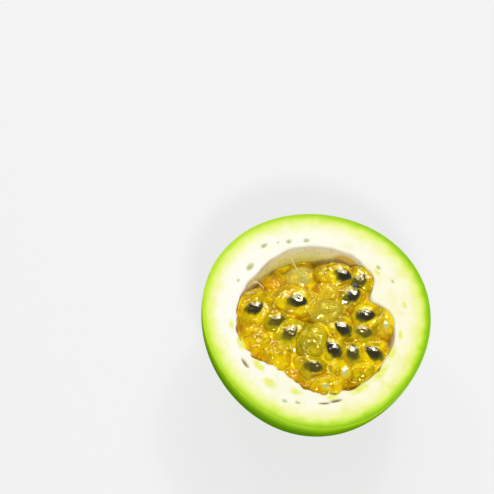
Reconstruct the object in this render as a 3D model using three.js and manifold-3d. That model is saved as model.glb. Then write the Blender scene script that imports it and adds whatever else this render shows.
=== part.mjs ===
// Half of a green passion fruit, cut across its middle and lying on its round back with the cut
// face up. Millimetres, +Z up, origin at the centre of the small flat spot that it rests on.
// The rind is one grown piece: green skin outside, white pith inside, hollow in the middle. The
// hollow holds the pulp: juice sacs, each with a seed in it, on a bed of sacs pressed together.
import * as THREE from "three";
import { mergeVertices } from "three/addons/utils/BufferGeometryUtils.js";
import Module from "manifold-3d";

const wasm = await Module();
wasm.setup();

// ---- Driving dimensions ----
const RIM_RADIUS = 34; // skin at the cut
const BACK_DEPTH = 38.2; // from the cut to where the round back would end
const FLAT_DEPTH = 0.7; // how much of the back's tip the resting spot presses flat
const FACE_Z = BACK_DEPTH - FLAT_DEPTH; // height of the cut face
const HOLLOW_RADIUS = 23.6; // hollow at the cut, between the seed-bearing ridges
const HOLLOW_DEPTH = 29; // hollow's floor below the cut
const GAP = 0.3; // between neighbouring pieces
const ABOVE_FACE = 6; // how far cutting shapes reach past the cut face

const SIDES = 60; // facets round the skin and the hollow
const SKIN_STEPS = 11; // facets from the resting spot to the rim
const HOLLOW_STEPS = 8;
const SAC_DETAIL = 2; // icosahedron subdivisions
const SEED_DETAIL = 1;

// The skin is out of round: its radius swells and shrinks by these shares. The first wave sets it
// off to one side of the hollow, and the third makes it a little three-sided, like the hollow.
const SKIN_WAVES = [
  { count: 1, share: 0.0243, phase: -1.37 },
  { count: 2, share: 0.002, phase: -2.13 },
  { count: 3, share: 0.0175, phase: -2.82 },
  { count: 4, share: 0.0026, phase: -2.76 },
];

// Three ridges that bear the seeds run down the hollow's wall: where, how far in, how wide.
const RIDGES = [
  { at: 45, height: 5.6, spread: 11.5 },
  { at: 160, height: 1.3, spread: 22 },
  { at: 260, height: 4.4, spread: 23 },
];

// The pulp has slumped away from one side, which leaves a scoop-shaped space under the rim there.
const SCOOP = { centre: [-7, 19, FACE_Z - 2.5], size: [31, 21, 21], turn: 25 };
const BED_TOP = FACE_Z - 6.6; // pulp bed under the sacs

// ---- Juice sacs, by hand ----
// A sac is SAC_FLATNESS as thick as it is wide, and its neighbours press its sides flat. Each
// row: the sac's centre (x, y) and its depth under the cut face, its length and width, and the
// turn of its long axis; then its seed's centre (x, y), the seed's turn and how far it is tipped.
const SAC_FLATNESS = 0.92;
const SACS = [
  [-7.5, 3.5, 3.9, 14.4, 9.4, 19, -7.2, 3.5, 19, 4],
  [-17.4, -3.4, 4.2, 13.6, 10.4, 101, -17.7, -3.4, 54, -10],
  [0.5, 16.3, 4.4, 12.4, 8.4, 19, 2.4, 17.0, 19, 6],
  [1.4, -6.6, 3.4, 11.6, 10.8, 45, 0.4, -7.4, 54, -14],
  [-5.4, -6.8, 4.0, 11.6, 9.6, 69, -5.8, -7.4, 69, 10],
  [7.8, 1.0, 4.0, 10.2, 9.0, 161, 8.8, 0.6, 161, 8],
  [7.8, -6.2, 3.8, 9.6, 8.8, 150, 7.8, -6.4, 150, -12],
  [13.8, 8.0, 4.1, 10.2, 8.8, 29, 13.0, 7.4, 29, 8],
  [19.4, -2.0, 4.2, 9.6, 9.8, 172, 19.2, -2.5, 165, -8],
  [3.8, -13.2, 4.0, 10.2, 8.8, 19, 4.4, -14.0, 12, 6],
  [7.4, 12.4, 4.8, 9.6, 8.4, 64, 7.2, 11.8, 64, 12],
  [8.6, 18.8, 4.6, 9.4, 8.8, 101, 7.6, 16.9, 70, 12],
  [2.0, 4.0, 3.9, 10.8, 8.6, 34, 2.2, 4.4, 34, -10],
  [13.8, -5.4, 4.3, 9.4, 8.6, 111, 13.8, -5.4, 111, 6],
  [-11.2, -4.4, 4.7, 9.4, 8.6, 54, -10.6, -4.9, 50, 4],
  [14.6, 2.0, 4.3, 9.2, 8.4, 13, 14.2, 2.3, 13, 8],
  [10.4, -17.0, 4.3, 10.4, 8.4, 8, 9.7, -18.0, 8, 0],
  [19.0, 8.6, 4.6, 9.0, 8.2, 120, 19.8, 7.4, 120, 0],
  [12.4, -11.4, 4.3, 9.0, 8.6, 35, 13.7, -11.8, 111, 0],
  [18.8, -9.0, 4.5, 9.2, 8.6, 70, 18.4, -9.4, 70, 8],
  [-6.6, -14.4, 4.6, 10.0, 8.6, 152, -6.4, -14.0, 152, -8],
  [-14.2, -12.0, 4.4, 10.4, 8.8, 140, -13.6, -11.8, 140, 8],
  [0.8, -17.2, 6.2, 8.8, 7.6, 12, 0.8, -16.8, 12, 8],
  [0.4, 10.4, 5.6, 9.2, 8.6, 24, 0.2, 10.4, 24, 12],
  [-8.2, 12.6, 8.2, 10.6, 8.4, 24, -7.4, 12.6, 24, -8],
  [-14.6, 7.4, 9.4, 10.6, 8.4, 40, -14.0, 7.6, 40, 8],
  [1.6, 19.2, 9.8, 9.6, 7.2, 20, 1.6, 18.8, 20, -8],
];

const SEED = { length: 6.2, width: 4.2, thickness: 2.6, point: 0.42 };
const SEED_TOP = 3.3; // top of the seed above the sac's centre, close under the sac's skin
const UNRIPE = new Map([
  [17, 0.42],
  [18, 0.45],
  [19, 0.55],
]); // seeds that stayed small, by number: their share of a ripe seed's size
const MOUTH_RADIUS = 0.6; // opening of the sac, where its stalk goes in to the seed

// ---- Stalks, by hand ----
// Each thread runs from the hollow's wall to the top of a sac, through these points (x, y and
// the depth under the cut face).
const STALK_RADIUS = 0.35;
const STALKS = [
  [[-22.3, -0.6, 0.9], [-20.0, 0.6, 0.2], [-17.8, 0.3, 0.0]],
  [[-21.5, 4.4, 1.6], [-19.7, 4.8, 2.0], [-17.6, 4.1, 3.0]],
  [[-14.2, 17.0, 2.2], [-12.4, 15.4, 3.0], [-10.4, 13.8, 3.4]],
];

// ---- Colours ----
const SKIN_GREEN = 0x4f9a12;
const JUICE_ORANGE = 0xd99a06;
const BED_ORANGE = 0xc98a08;
const SEED_BLACK = 0x24211c;
const STALK_CREAM = 0xf2ecc8;

const radians = THREE.MathUtils.degToRad;

// ---- Between three.js geometry and closed solids ----
function solidOf(geometry) {
  const bare = geometry.clone();
  bare.deleteAttribute("normal");
  bare.deleteAttribute("uv");
  const merged = mergeVertices(bare, 1e-4);
  return new wasm.Manifold(
    new wasm.Mesh({
      numProp: 3,
      vertProperties: merged.attributes.position.array,
      triVerts: new Uint32Array(merged.index.array),
    }),
  );
}

function geometryOf(solid) {
  const { numProp, numVert, vertProperties, triVerts } = solid.getMesh();
  const places = new Float32Array(numVert * 3);
  for (let i = 0; i < numVert; i++)
    places.set(vertProperties.subarray(i * numProp, i * numProp + 3), i * 3);
  const geometry = new THREE.BufferGeometry();
  geometry.setAttribute("position", new THREE.BufferAttribute(places, 3));
  geometry.setIndex(new THREE.BufferAttribute(triVerts, 1));
  geometry.computeVertexNormals();
  return geometry;
}

// A cut can shave a crumb off a soft piece; the piece is its largest body.
function largestBody(solid) {
  return solid.decompose().sort((a, b) => b.volume() - a.volume())[0];
}

// Moves each vertex of a geometry to where the function puts it.
function reshape(geometry, move) {
  const places = geometry.attributes.position;
  const at = new THREE.Vector3();
  for (let i = 0; i < places.count; i++) {
    move(at.fromBufferAttribute(places, i));
    places.setXYZ(i, at.x, at.y, at.z);
  }
  return geometry;
}

// Everything on one side of a plane: the side that the normal points to.
function beyondPlane(point, normal) {
  const side = 4 * RIM_RADIUS;
  const upright = new THREE.Vector3(0, 0, 1);
  const block = new THREE.BoxGeometry(side, side, side).translate(0, 0, side / 2);
  block.applyQuaternion(new THREE.Quaternion().setFromUnitVectors(upright, normal));
  return solidOf(block.translate(point.x, point.y, point.z));
}

// A profile of (radius, height) points turned about the upright axis.
function turned(profile) {
  const points = profile.map(([r, z]) => new THREE.Vector2(r, z));
  return new THREE.LatheGeometry(points, SIDES).rotateX(Math.PI / 2);
}

// Points up an elliptical bowl to its rim at the cut face, from where it is lift above its tip.
function bowlArc(radius, depth, steps, lift = 0) {
  const start = Math.acos((depth - lift) / depth);
  return Array.from({ length: steps + 1 }, (_, i) => {
    const a = start + ((Math.PI / 2 - start) * i) / steps;
    return [radius * Math.sin(a), FACE_Z - depth * Math.cos(a)];
  });
}

// ---- Rind ----
function wholeHalf() {
  const side = bowlArc(RIM_RADIUS, BACK_DEPTH, SKIN_STEPS, FLAT_DEPTH);
  const body = reshape(turned([[0, 0], ...side, [0, FACE_Z]]), (p) => {
    const angle = Math.atan2(p.y, p.x);
    const swell = SKIN_WAVES.reduce(
      (sum, { count, share, phase }) => sum + share * Math.cos(count * angle + phase),
      1,
    );
    p.set(p.x * swell, p.y * swell, p.z);
  });
  return solidOf(body);
}

// How far the ridges stand in from the hollow's wall at an angle in degrees.
function ridgeHeight(angle) {
  return RIDGES.reduce((sum, { at, height, spread }) => {
    const off = ((((angle - at) % 360) + 540) % 360) - 180;
    return sum + height * Math.exp(-((off / spread) ** 2));
  }, 0);
}

// The hollow's own shape, drawn in by inset all round, and open at the top.
function hollow(inset) {
  const radius = HOLLOW_RADIUS - inset;
  const top = FACE_Z + ABOVE_FACE;
  const side = bowlArc(radius, HOLLOW_DEPTH - inset, HOLLOW_STEPS);
  const body = reshape(turned([...side, [radius, top], [0, top]]), (p) => {
    const angle = THREE.MathUtils.radToDeg(Math.atan2(p.y, p.x));
    const shrink = 1 - ridgeHeight(angle) / HOLLOW_RADIUS;
    p.set(p.x * shrink, p.y * shrink, p.z);
  });
  return solidOf(body);
}

// ---- Pulp ----
function ellipsoid(detail, length, width, thickness) {
  return new THREE.IcosahedronGeometry(1, detail).scale(length / 2, width / 2, thickness / 2);
}

function placed(geometry, [x, y, z], turn, tip = 0) {
  return geometry.rotateY(radians(tip)).rotateZ(radians(turn)).translate(x, y, z);
}

// A hand-written row as named values, in the fruit's own frame.
function sacFrom([x, y, depth, length, width, turn, seedX, seedY, seedTurn, seedTip], index) {
  const seedShare = UNRIPE.get(index + 1) ?? 1;
  const seedRise = SEED_TOP - (seedShare * SEED.thickness) / 2;
  return {
    centre: new THREE.Vector3(x, y, FACE_Z - depth),
    size: [length, width, width * SAC_FLATNESS],
    turn,
    seedCentre: [seedX, seedY, FACE_Z - depth + seedRise],
    seedShare,
    seedTurn,
    seedTip,
  };
}

function sacBlank({ centre, size, turn }, extra) {
  const grown = size.map((s) => s + extra);
  return solidOf(placed(ellipsoid(SAC_DETAIL, ...grown), centre.toArray(), turn));
}

// From a sac's centre to its unpressed surface, in a direction.
function reach({ size, turn }, direction) {
  const own = direction.clone().applyAxisAngle(new THREE.Vector3(0, 0, 1), -radians(turn));
  return 0.5 / Math.hypot(own.x / size[0], own.y / size[1], own.z / size[2]);
}

// Where two sacs press on each other there is a flat between them, nearer to the smaller one.
function pressedAgainst(sac, other) {
  const line = other.centre.clone().sub(sac.centre);
  const apart = line.length();
  const normal = line.normalize();
  const own = reach(sac, normal);
  const share = own / (own + reach(other, normal));
  const flat = sac.centre.clone().addScaledVector(normal, apart * share - GAP / 2);
  return beyondPlane(flat, normal);
}

// Flat, egg-shaped, and pointed at the end where the stalk meets it.
function seedSolid({ seedCentre, seedShare, seedTurn, seedTip }, extra) {
  const size = [SEED.length, SEED.width, SEED.thickness].map((s) => s * seedShare + extra);
  const body = reshape(ellipsoid(SEED_DETAIL, ...size), (p) => {
    const taper = 1 - SEED.point * Math.max(0, (2 * p.x) / size[0]) ** 2;
    p.set(p.x, p.y * taper, p.z * taper);
  });
  return solidOf(placed(body, seedCentre, seedTurn, seedTip));
}

// The mouth of a sac: a thin passage from the seed's pointed end out through the sac's end.
function sacMouth({ size, seedCentre, seedShare, seedTurn, seedTip }) {
  const passage = new THREE.CylinderGeometry(MOUTH_RADIUS, MOUTH_RADIUS, size[0], 4)
    .rotateZ(Math.PI / 2)
    .translate((size[0] + (seedShare * SEED.length) / 2) / 2, 0, 0);
  return solidOf(placed(passage, seedCentre, seedTurn, seedTip));
}

const sacs = SACS.map(sacFrom);
const room = hollow(GAP);
const seedPockets = sacs.map((sac) => seedSolid(sac, 2 * GAP));
const aboveBed = beyondPlane(new THREE.Vector3(0, 0, BED_TOP), new THREE.Vector3(0, 0, 1));
const isLow = (sac) => sac.centre.z < BED_TOP + 1;

function touches(a, b) {
  return !a.intersect(b).isEmpty();
}

function sacSolid(sac, index) {
  const blank = sacBlank(sac, 2 * GAP);
  let solid = sacBlank(sac, 0).intersect(room);
  if (!isLow(sac)) solid = solid.intersect(aboveBed.translate(0, 0, GAP));
  sacs.forEach((other, i) => {
    if (i !== index && touches(blank, sacBlank(other, 0)))
      solid = solid.subtract(pressedAgainst(sac, other));
  });
  for (const pocket of seedPockets)
    if (touches(solid, pocket)) solid = solid.subtract(pocket);
  return largestBody(solid.subtract(sacMouth(sac)));
}

function bedSolid() {
  const { centre, size, turn } = SCOOP;
  const scoop = solidOf(placed(ellipsoid(SAC_DETAIL, ...size), centre, turn));
  let bed = room.subtract(aboveBed).subtract(scoop);
  for (const sac of sacs.filter(isLow)) bed = bed.subtract(sacBlank(sac, 2 * GAP));
  for (const pocket of seedPockets)
    if (touches(bed, pocket)) bed = bed.subtract(pocket);
  return largestBody(bed);
}

// A thread with six sides along a smooth curve.
function stalkSolid(points) {
  const route = points.map(([x, y, depth]) => new THREE.Vector3(x, y, FACE_Z - depth));
  const section = new THREE.Shape(
    Array.from({ length: 6 }, (_, i) => {
      const a = (Math.PI * i) / 3;
      return new THREE.Vector2(STALK_RADIUS * Math.cos(a), STALK_RADIUS * Math.sin(a));
    }),
  );
  const extrudePath = new THREE.CatmullRomCurve3(route);
  return solidOf(new THREE.ExtrudeGeometry(section, { steps: 5, extrudePath }));
}

// ---- Scene graph ----
const fruit = new THREE.Group();

function addPiece(name, solid, color, roughness) {
  const material = new THREE.MeshStandardMaterial({ color, roughness, metalness: 0 });
  const mesh = new THREE.Mesh(geometryOf(solid), material);
  mesh.name = name;
  fruit.add(mesh);
}

addPiece("rind", wholeHalf().subtract(hollow(0)), SKIN_GREEN, 0.35);
addPiece("pulp_bed", bedSolid(), BED_ORANGE, 0.25);
sacs.forEach((sac, i) => {
  const number = String(i + 1).padStart(2, "0");
  addPiece(`juice_sac_${number}`, sacSolid(sac, i), JUICE_ORANGE, 0.15);
  addPiece(`seed_${number}`, seedSolid(sac, 0), SEED_BLACK, 0.3);
});
STALKS.forEach((points, i) => {
  addPiece(`stalk_${i + 1}`, stalkSolid(points), STALK_CREAM, 0.4);
});

export default fruit;
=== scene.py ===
"""Half of a green passion fruit: the looks of the rind, the juice sacs, the seeds and the stalks.

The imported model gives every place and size; everything here is in metres, in its frame.
"""
import math

import bmesh
import bpy
import numpy as np
from mathutils import Matrix, Quaternion, Vector, noise
from mathutils.bvhtree import BVHTree


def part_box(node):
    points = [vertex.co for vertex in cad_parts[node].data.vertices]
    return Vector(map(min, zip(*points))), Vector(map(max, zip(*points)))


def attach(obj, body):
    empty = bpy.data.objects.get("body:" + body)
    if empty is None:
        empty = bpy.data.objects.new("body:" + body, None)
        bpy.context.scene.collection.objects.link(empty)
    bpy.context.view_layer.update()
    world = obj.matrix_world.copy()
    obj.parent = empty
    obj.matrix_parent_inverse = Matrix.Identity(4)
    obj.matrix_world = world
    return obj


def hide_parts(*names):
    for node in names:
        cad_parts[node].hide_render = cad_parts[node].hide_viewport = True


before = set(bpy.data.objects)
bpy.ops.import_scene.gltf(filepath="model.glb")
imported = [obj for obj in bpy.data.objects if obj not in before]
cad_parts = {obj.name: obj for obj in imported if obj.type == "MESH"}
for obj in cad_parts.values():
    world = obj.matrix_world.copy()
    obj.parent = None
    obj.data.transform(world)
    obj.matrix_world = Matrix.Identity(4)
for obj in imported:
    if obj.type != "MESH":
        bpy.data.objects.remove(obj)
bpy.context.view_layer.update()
MM = 0.001  # a millimetre, in metres
BODY = "root"

# ---- Sizes from the frame, and the fruit's own proportions, in millimetres ----
FACE_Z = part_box("rind")[1].z / MM  # the cut face
RIM_RADIUS = 34.0  # before the skin's waves
BACK_DEPTH = FACE_Z + 0.7  # where the round back would end under the resting spot
HOLLOW_RADIUS = 23.6
HOLLOW_DEPTH = 29.0
# Each wave of the skin: how many round the fruit, share of the radius, phase.
SKIN_WAVES = ((1, 0.0243, -1.37), (2, 0.002, -2.13), (3, 0.0175, -2.82), (4, 0.0026, -2.76))
# Each seed-bearing ridge of the hollow: degrees round, millimetres high, degrees wide.
RIDGES = ((45, 5.6, 11.5), (160, 1.3, 22), (260, 4.4, 23))

SACS = sorted(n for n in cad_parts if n.startswith("juice_sac"))
SEEDS = sorted(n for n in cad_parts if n.startswith("seed"))
STALKS = sorted(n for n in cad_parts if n.startswith("stalk"))


# ---- Small tools ----
def linear(code):
    """A screen colour such as "b8df26" as a shader colour."""
    parts = [int(code[i : i + 2], 16) / 255 for i in (0, 2, 4)]
    return tuple(p / 12.92 if p <= 0.04045 else ((p + 0.055) / 1.055) ** 2.4 for p in parts) + (1,)


def add_object(name, data):
    obj = bpy.data.objects.new(name, data)
    bpy.context.scene.collection.objects.link(obj)
    return obj


def make_object(name, points, faces, material_of=None, materials=()):
    """A mesh from points in millimetres; material_of gives each face's material number."""
    mesh = bpy.data.meshes.new(name)
    mesh.from_pydata((np.asarray(points) * MM).tolist(), [], faces)
    for material in materials:
        mesh.materials.append(material)
    if material_of is not None:
        mesh.polygons.foreach_set("material_index", np.asarray(material_of, np.int32))
    mesh.polygons.foreach_set("use_smooth", [True] * len(mesh.polygons))
    mesh.update()
    return add_object(name, mesh)


BLACK, WHITE = (0, 0, 0, 1), (1, 1, 1, 1)
DEEPEST = 12.0  # millimetres in from the skin, where the depth attribute ends


def at_depths(*stops):
    """Ramp stops from (millimetres in from the skin, colour)."""
    return tuple((depth / DEEPEST, colour) for depth, colour in stops)


def add_attribute(obj, name, values):
    attribute = obj.data.attributes.new(name, "FLOAT", "POINT")
    attribute.data.foreach_set("value", np.asarray(values, np.float32))


def node_points(node):
    """A CAD node's own points, in millimetres, without doubles."""
    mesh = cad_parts[node].data
    points = np.array([v.co for v in mesh.vertices]) / MM
    return np.unique(np.round(points, 4), axis=0)


def fuzz(x, y, z, scale, seed=0.0):
    """Smooth noise from -1 to 1 at each point; scale is its cell's size in millimetres."""
    flat = [np.ravel(np.broadcast_to(a, np.broadcast(x, y, z).shape)) for a in (x, y, z)]
    at = np.stack(flat, 1) / scale + seed
    made = np.array([noise.noise(Vector(p)) for p in at])
    return made.reshape(np.broadcast(x, y, z).shape)


def smoothstep(low, high, x):
    t = np.clip((x - low) / (high - low), 0, 1)
    return t * t * (3 - 2 * t)


# ---- Material tools ----
def new_material(name):
    material = bpy.data.materials.new(name)
    material.use_nodes = True
    tree = material.node_tree
    shader = tree.nodes["Principled BSDF"]
    return material, tree, shader


def add_node(tree, kind, settings=(), **inputs):
    node = tree.nodes.new(kind)
    for key, value in dict(settings).items():
        setattr(node, key, value)
    for key, value in inputs.items():
        name = key.replace("_", " ")
        if isinstance(value, bpy.types.NodeSocket):
            tree.links.new(value, node.inputs[name])
        else:
            node.inputs[name].default_value = value
    return node


def settle(node, **inputs):
    """Sets a node's own inputs to constants."""
    for key, value in inputs.items():
        node.inputs[key.replace("_", " ")].default_value = value


def ramp(tree, factor, stops):
    node = tree.nodes.new("ShaderNodeValToRGB")
    elements = node.color_ramp.elements
    while len(elements) < len(stops):
        elements.new(0.5)
    for element, (place, colour) in zip(elements, stops):
        element.position = place
        element.color = colour if not isinstance(colour, str) else linear(colour)
    tree.links.new(factor, node.inputs["Fac"])
    return node.outputs["Color"]


def mix_colour(tree, factor, a, b, blend="MIX"):
    node = tree.nodes.new("ShaderNodeMix")
    node.data_type = "RGBA"
    node.blend_type = blend
    for socket, value in ((node.inputs[0], factor), (node.inputs[6], a), (node.inputs[7], b)):
        if isinstance(value, bpy.types.NodeSocket):
            tree.links.new(value, socket)
        else:
            socket.default_value = value
    return node.outputs[2]


def maths(tree, operation, a, b=0.0, c=0.0, clamp=False):
    node = tree.nodes.new("ShaderNodeMath")
    node.operation = operation
    node.use_clamp = clamp
    for socket, value in zip(node.inputs, (a, b, c)):
        if isinstance(value, bpy.types.NodeSocket):
            tree.links.new(value, socket)
        else:
            socket.default_value = value
    return node.outputs[0]


def object_place(tree):
    return tree.nodes.new("ShaderNodeTexCoord").outputs["Object"]


def noise_of(tree, place, scale_mm, detail=3.0, roughness=0.55):
    """Noise whose cells are scale_mm wide."""
    node = add_node(tree, "ShaderNodeTexNoise", Vector=place, Scale=1 / (scale_mm * MM),
                    Detail=detail, Roughness=roughness)
    return node.outputs["Fac"]


def attribute_of(tree, name):
    return add_node(tree, "ShaderNodeAttribute", {"attribute_name": name}).outputs["Fac"]


def bump(tree, height, strength, distance_mm, under=None):
    node = add_node(tree, "ShaderNodeBump", Height=height, Strength=strength, Distance=distance_mm * MM)
    if under is not None:
        tree.links.new(under, node.inputs["Normal"])
    return node.outputs["Normal"]


# ---- Materials ----
def skin_material():
    """""Waxy green skin: lime at the cut and darker below, which is painted light and shade by height; fine
    pale specks all over.""
    """
    material, tree, shader = new_material("green_skin")
    place = object_place(tree)
    height = add_node(tree, "ShaderNodeSeparateXYZ", Vector=place).outputs["Z"]
    drop = maths(tree, "DIVIDE", maths(tree, "SUBTRACT", FACE_Z * MM, height), FACE_Z * MM)
    cloudy = noise_of(tree, place, 9.0)
    cloudy = maths(tree, "SUBTRACT", cloudy, 0.5)
    wander = maths(tree, "MULTIPLY", cloudy, maths(tree, "MINIMUM", drop, 0.25))
    shifted = maths(tree, "ADD", drop, wander)
    # Painted light and shade: the green ramp is lime by the cut and darkens lower down the skin.
    shaded_green = ramp(tree, shifted, (
        (0.0, "b8e610"), (0.04, "9cd406"), (0.09, "7ab002"), (0.2, "5a9202"), (0.4, "4a8402"),
        (0.62, "427804"), (0.86, "4c7a0a"), (1.0, "66821a"),
    ))
    cells = add_node(tree, "ShaderNodeTexVoronoi", {"feature": "F1"}, Vector=place, Scale=1 / (1.25 * MM))
    pick = add_node(tree, "ShaderNodeSeparateColor", Color=cells.outputs["Color"])
    size = maths(tree, "MULTIPLY", pick.outputs[0], 0.30)
    speck = maths(tree, "SUBTRACT", size, cells.outputs["Distance"])
    speck = maths(tree, "MULTIPLY", speck, 9.0, clamp=True)
    low_down = ramp(tree, drop, ((0.06, BLACK), (0.35, WHITE)))
    speck = maths(tree, "MULTIPLY", speck, maths(tree, "MULTIPLY_ADD", low_down, 0.5, 0.3))
    specked = mix_colour(tree, speck, shaded_green, linear("a2c652"))
    mottled = ramp(tree, noise_of(tree, place, 2.2, 4.0, 0.6), ((0.4, BLACK), (0.65, WHITE)))
    specked = mix_colour(tree, maths(tree, "MULTIPLY", mottled, 0.22), specked, linear("6ea406"))
    tree.links.new(specked, shader.inputs["Base Color"])
    settle(shader, Roughness=0.42, Specular_IOR_Level=0.0)
    facing = add_node(tree, "ShaderNodeLayerWeight", Blend=0.5).outputs["Facing"]
    waxy = maths(tree, "MULTIPLY", maths(tree, "SUBTRACT", 0.8, facing, clamp=True), 0.6)
    tree.links.new(waxy, shader.inputs["Coat Weight"])
    settle(shader, Coat_Roughness=0.22, Subsurface_Weight=0.08, Subsurface_Radius=(0.6, 1.0, 0.2),
           Subsurface_Scale=1.2 * MM)
    pores = maths(tree, "ADD", noise_of(tree, place, 0.8), maths(tree, "MULTIPLY", speck, 0.5))
    rolling = bump(tree, noise_of(tree, place, 5.0, 2.0), 0.35, 0.35)
    tree.links.new(bump(tree, pores, 0.35, 0.09, rolling), shader.inputs["Normal"])
    return material


def flesh_material():
    """The cut rind: a green line under the skin, fading through lime into creamy white pith."""
    material, tree, shader = new_material("cut_rind")
    place = object_place(tree)
    depth = attribute_of(tree, "depth")  # in from the skin, as a share of DEEPEST
    blotch = maths(tree, "SUBTRACT", noise_of(tree, place, 3.2), 0.5)
    wander = maths(tree, "MULTIPLY", blotch, maths(tree, "MULTIPLY", depth, 0.9))
    fades = maths(tree, "ADD", depth, wander)
    green_side = ramp(tree, fades, at_depths(
        (0, "b6de50"), (0.25, "7db806"), (0.8, "8ac404"), (1.2, "9fd20e"), (1.6, "b4de24"), (2, "c8e844"),
        (2.5, "dcf06c"), (3, "e8f488"), (4, "f2f4a4"), (5, "f6f6bc"), (6, "f8f8d0"), (8, "faf8dc"),
    ))
    pale_side = ramp(tree, fades, at_depths(
        (0, "c8ea64"), (0.25, "b4de24"), (0.8, "c2e636"), (1.2, "d0ee50"), (1.6, "dcf26a"), (2, "e4f480"),
        (3, "f0f6a6"), (4, "f7f8c8"), (5, "faf9e0"), (6, "fbfaee"), (8, "fbfaf2"),
    ))
    flesh = mix_colour(tree, attribute_of(tree, "green_side"), pale_side, green_side)
    creamy = ramp(tree, noise_of(tree, place, 4.5, 2.0), ((0.48, BLACK), (0.7, WHITE)))
    creaminess = maths(tree, "MULTIPLY_ADD", attribute_of(tree, "green_side"), 0.35, 0.12)
    creaminess = maths(tree, "MULTIPLY", creamy, creaminess)
    flesh = mix_colour(tree, creaminess, flesh, linear("f6f3b6"), "MULTIPLY")
    threads = noise_of(tree, place, 0.7, 5.0, 0.65)
    flesh = mix_colour(tree, maths(tree, "MULTIPLY", threads, 0.14), flesh, linear("ecebb4"), "MULTIPLY")
    flesh = mix_colour(tree, attribute_of(tree, "vein"), flesh, linear("b9c07a"))
    spread = maths(tree, "ADD", attribute_of(tree, "stain"),
                   maths(tree, "MULTIPLY", maths(tree, "SUBTRACT", noise_of(tree, place, 1.3), 0.5), 0.9))
    spread = ramp(tree, spread, ((0.12, BLACK), (0.85, WHITE)))
    flesh = mix_colour(tree, maths(tree, "MULTIPLY", spread, 0.75), flesh, linear("e4ea1c"))
    flesh = mix_colour(tree, attribute_of(tree, "crack"), flesh, linear("a08a3c"))
    tree.links.new(flesh, shader.inputs["Base Color"])
    wet = maths(tree, "MULTIPLY", maths(tree, "SUBTRACT", 1.0, spread), 0.34)
    tree.links.new(maths(tree, "ADD", wet, 0.16), shader.inputs["Roughness"])
    settle(shader, Specular_IOR_Level=0.1, Subsurface_Weight=0.1, Subsurface_Radius=(1.0, 0.9, 0.4),
           Subsurface_Scale=1.0 * MM)
    soft = bump(tree, noise_of(tree, place, 1.6, 4.0), 0.35, 0.25)
    tree.links.new(bump(tree, threads, 0.3, 0.08, soft), shader.inputs["Normal"])
    return material


PAINTED_WALL_GLOW = 0.10  # painted light: the hollow's wall glows faintly, in place of light reaching it through the flesh


def lining_material():
    """The hollow's wall: ivory, olive further down, with brown blots and stretches of juice."""
    material, tree, shader = new_material("hollow_lining")
    place = object_place(tree)
    height = add_node(tree, "ShaderNodeSeparateXYZ", Vector=place).outputs["Z"]
    drop = maths(tree, "DIVIDE", maths(tree, "SUBTRACT", FACE_Z * MM, height), 14 * MM)
    wall = ramp(tree, drop, (
        (0.0, "fffff0"), (0.12, "fffee4"), (0.28, "f2fcd2"), (0.42, "ecf0a0"), (0.6, "d8d250"),
        (0.9, "a89c0c"),
    ))
    blot = ramp(tree, noise_of(tree, place, 1.5, 5.0, 0.7), ((0.50, BLACK), (0.68, WHITE)))
    wall = mix_colour(tree, maths(tree, "MULTIPLY", blot, 0.5), wall, linear("b49858"))
    juicy = maths(tree, "ADD", attribute_of(tree, "stain"),
                  maths(tree, "MULTIPLY", maths(tree, "SUBTRACT", noise_of(tree, place, 1.4), 0.5), 0.5))
    juicy = ramp(tree, juicy, ((0.3, BLACK), (0.7, WHITE)))
    wall = mix_colour(tree, juicy, wall, linear("dcbc00"))
    tree.links.new(wall, shader.inputs["Base Color"])
    # The wall's faint emission is painted light.
    settle(shader, Emission_Color=linear("fff0bc"), Emission_Strength=PAINTED_WALL_GLOW, Roughness=0.35,
           Coat_Weight=0.25, Coat_Roughness=0.12, Subsurface_Weight=0.15,
           Subsurface_Radius=(1.0, 1.0, 0.5), Subsurface_Scale=1.5 * MM)
    soft = bump(tree, noise_of(tree, place, 1.2, 4.0), 0.5, 0.3)
    tree.links.new(soft, shader.inputs["Normal"])
    return material


def juice_colour(tree, place, sunk):
    """""Cloudy juice: yellow with mustard, orange and bright patches, which are painted light and shade as
    of light bent through the gel, and painted shade that makes it more orange the deeper it lies.""
    """
    cloud = maths(tree, "SUBTRACT", noise_of(tree, place, 2.4, 4.0, 0.6), 0.5)
    # Painted shade: the deeper the juice lies, the further the ramp runs to orange-brown.
    juice = ramp(tree, maths(tree, "MULTIPLY_ADD", cloud, 2.4, sunk), (
        (0.0, "f8dc04"), (0.15, "e8bc00"), (0.3, "d49e00"), (0.5, "c08000"), (0.7, "a66200"),
        (1.0, "783a00"),
    ))
    # Painted shade: mustard patches.
    olive = ramp(tree, noise_of(tree, place, 3.6, 3.0), ((0.45, BLACK), (0.62, WHITE)))
    juice = mix_colour(tree, maths(tree, "MULTIPLY", olive, 0.7), juice, linear("988404"))
    # Painted light: bright yellow patches.
    painted_light_patches = ramp(tree, noise_of(tree, place, 1.2, 3.0, 0.6), ((0.54, BLACK), (0.66, WHITE)))
    return mix_colour(tree, maths(tree, "MULTIPLY", painted_light_patches, 0.6), juice, linear("fae60a"))


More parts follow.
